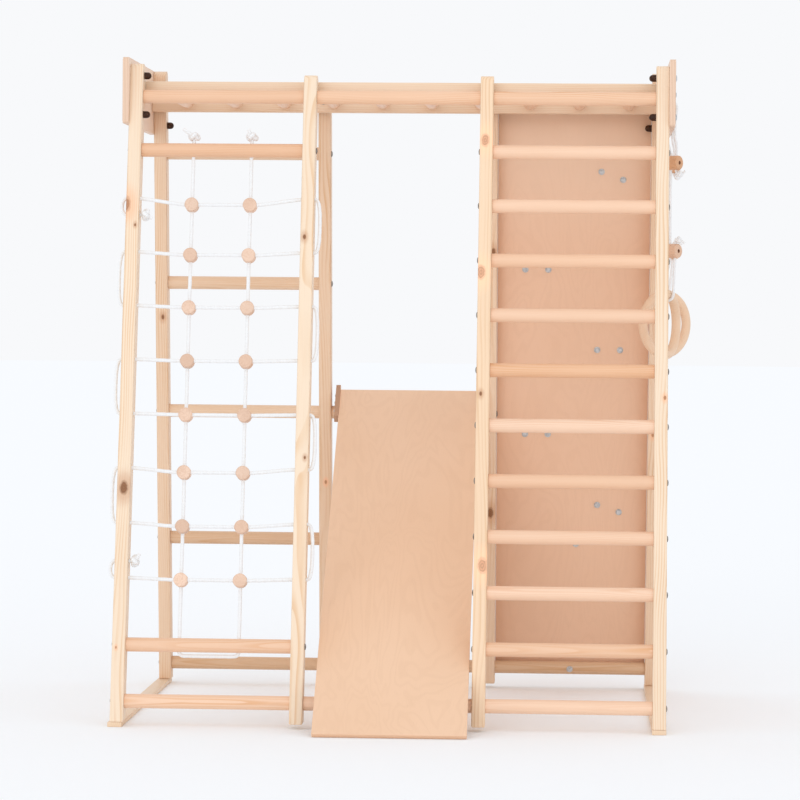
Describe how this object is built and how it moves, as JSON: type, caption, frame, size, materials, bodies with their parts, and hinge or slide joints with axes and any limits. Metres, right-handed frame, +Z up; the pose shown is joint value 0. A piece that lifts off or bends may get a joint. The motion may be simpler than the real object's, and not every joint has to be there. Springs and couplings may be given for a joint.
{
  "type": "monkey bars climbing frame",
  "caption": "Wooden indoor climbing frame with monkey bars on top, a rope net, a slide, a rung ladder, a climbing panel and hanging gym rings.",
  "frame": {"origin": "on the floor, in the middle of the whole object's box", "axes": "+X across the bays towards the gym rings, +Y from the front legs to the rear legs, +Z up"},
  "size_m": [1.463, 1.178, 1.6724],
  "materials": {
    "pale_pine": "satin",
    "tan_pine": "satin",
    "beech": "satin",
    "birch_plywood": "satin",
    "hold_resin": "matte",
    "white_rope": "matte",
    "zinc_steel": "satin",
    "black_caps": "glossy",
    "brass_inserts": "satin"
  },
  "bodies": {
    "frame": {"front_leg_1": "pale_pine", "front_leg_2": "pale_pine", "front_leg_3": "pale_pine", "front_leg_4": "pale_pine", "rear_leg_1": "tan_pine", "rear_leg_2": "tan_pine", "rear_leg_3": "tan_pine", "rear_leg_4": "tan_pine", "foot_board_left": "pale_pine", "foot_board_right": "pale_pine", "gusset_plate_left": "birch_plywood", "gusset_plate_right": "birch_plywood", "monkey_rail_front": "pale_pine", "monkey_rail_rear": "tan_pine", "monkey_rung_1": "beech", "monkey_rung_2": "beech", "monkey_rung_3": "beech", "monkey_rung_4": "beech", "monkey_rung_5": "beech", "monkey_rung_6": "beech", "monkey_rung_7": "beech", "monkey_rung_8": "beech", "monkey_rung_9": "beech", "monkey_rung_10": "beech", "ladder_rung_1": "beech", "ladder_rung_2": "beech", "ladder_rung_3": "beech", "ladder_rung_4": "beech", "ladder_rung_5": "beech", "ladder_rung_6": "beech", "ladder_rung_7": "beech", "ladder_rung_8": "beech", "ladder_rung_9": "beech", "ladder_rung_10": "beech", "ladder_rung_11": "beech", "top_dowels": "beech", "net_bay_bars": "beech", "slide_bay_bar": "beech", "rear_bars": "tan_pine", "slide_bar": "tan_pine", "climbing_panel": "birch_plywood", "climbing_holds": "hold_resin", "panel_bolts": "zinc_steel", "net_rope_across": "white_rope", "net_rope_upright": "white_rope", "net_discs": "beech", "frame_bolts": "zinc_steel", "cap_nuts": "black_caps", "rung_bolts": "zinc_steel", "rung_inserts": "brass_inserts"},
    "slide": {"slide_board": "birch_plywood", "slide_hook_left": "birch_plywood", "slide_hook_right": "birch_plywood", "slide_screws": "zinc_steel"},
    "ring_hanger_front": {"ring_rope_front": "white_rope", "ring_toggles_front": "beech"},
    "gym_ring_front": {"ring_front": "beech"},
    "ring_hanger_rear": {"ring_rope_rear": "white_rope", "ring_toggles_rear": "beech"},
    "gym_ring_rear": {"ring_rear": "beech"}
  },
  "joints": [
    {"name": "slide_lift", "type": "hinge", "parent": "frame", "child": "slide", "pos_m": [0, 0.46908, 0.75559], "axis": [-1, 0, 0], "range_deg": [0, 30]},
    {"name": "ring_swing_front", "type": "hinge", "parent": "frame", "child": "ring_hanger_front", "pos_m": [0.66552, 0.03501, 1.5765], "axis": [-1, 0, 0], "range_deg": [0, 12]},
    {"name": "ring_tilt_front", "type": "hinge", "parent": "ring_hanger_front", "child": "gym_ring_front", "pos_m": [0.66152, 0.03501, 1.082], "axis": [0.342, 0.9397, 0], "range_deg": [-20, 20]},
    {"name": "ring_swing_rear", "type": "hinge", "parent": "frame", "child": "ring_hanger_rear", "pos_m": [0.66552, 0.23501, 1.5765], "axis": [1, 0, 0], "range_deg": [0, 9]},
    {"name": "ring_tilt_rear", "type": "hinge", "parent": "ring_hanger_rear", "child": "gym_ring_rear", "pos_m": [0.66152, 0.23501, 1.082], "axis": [0.7431, 0.6691, 0], "range_deg": [-12, 20]}
  ]
}
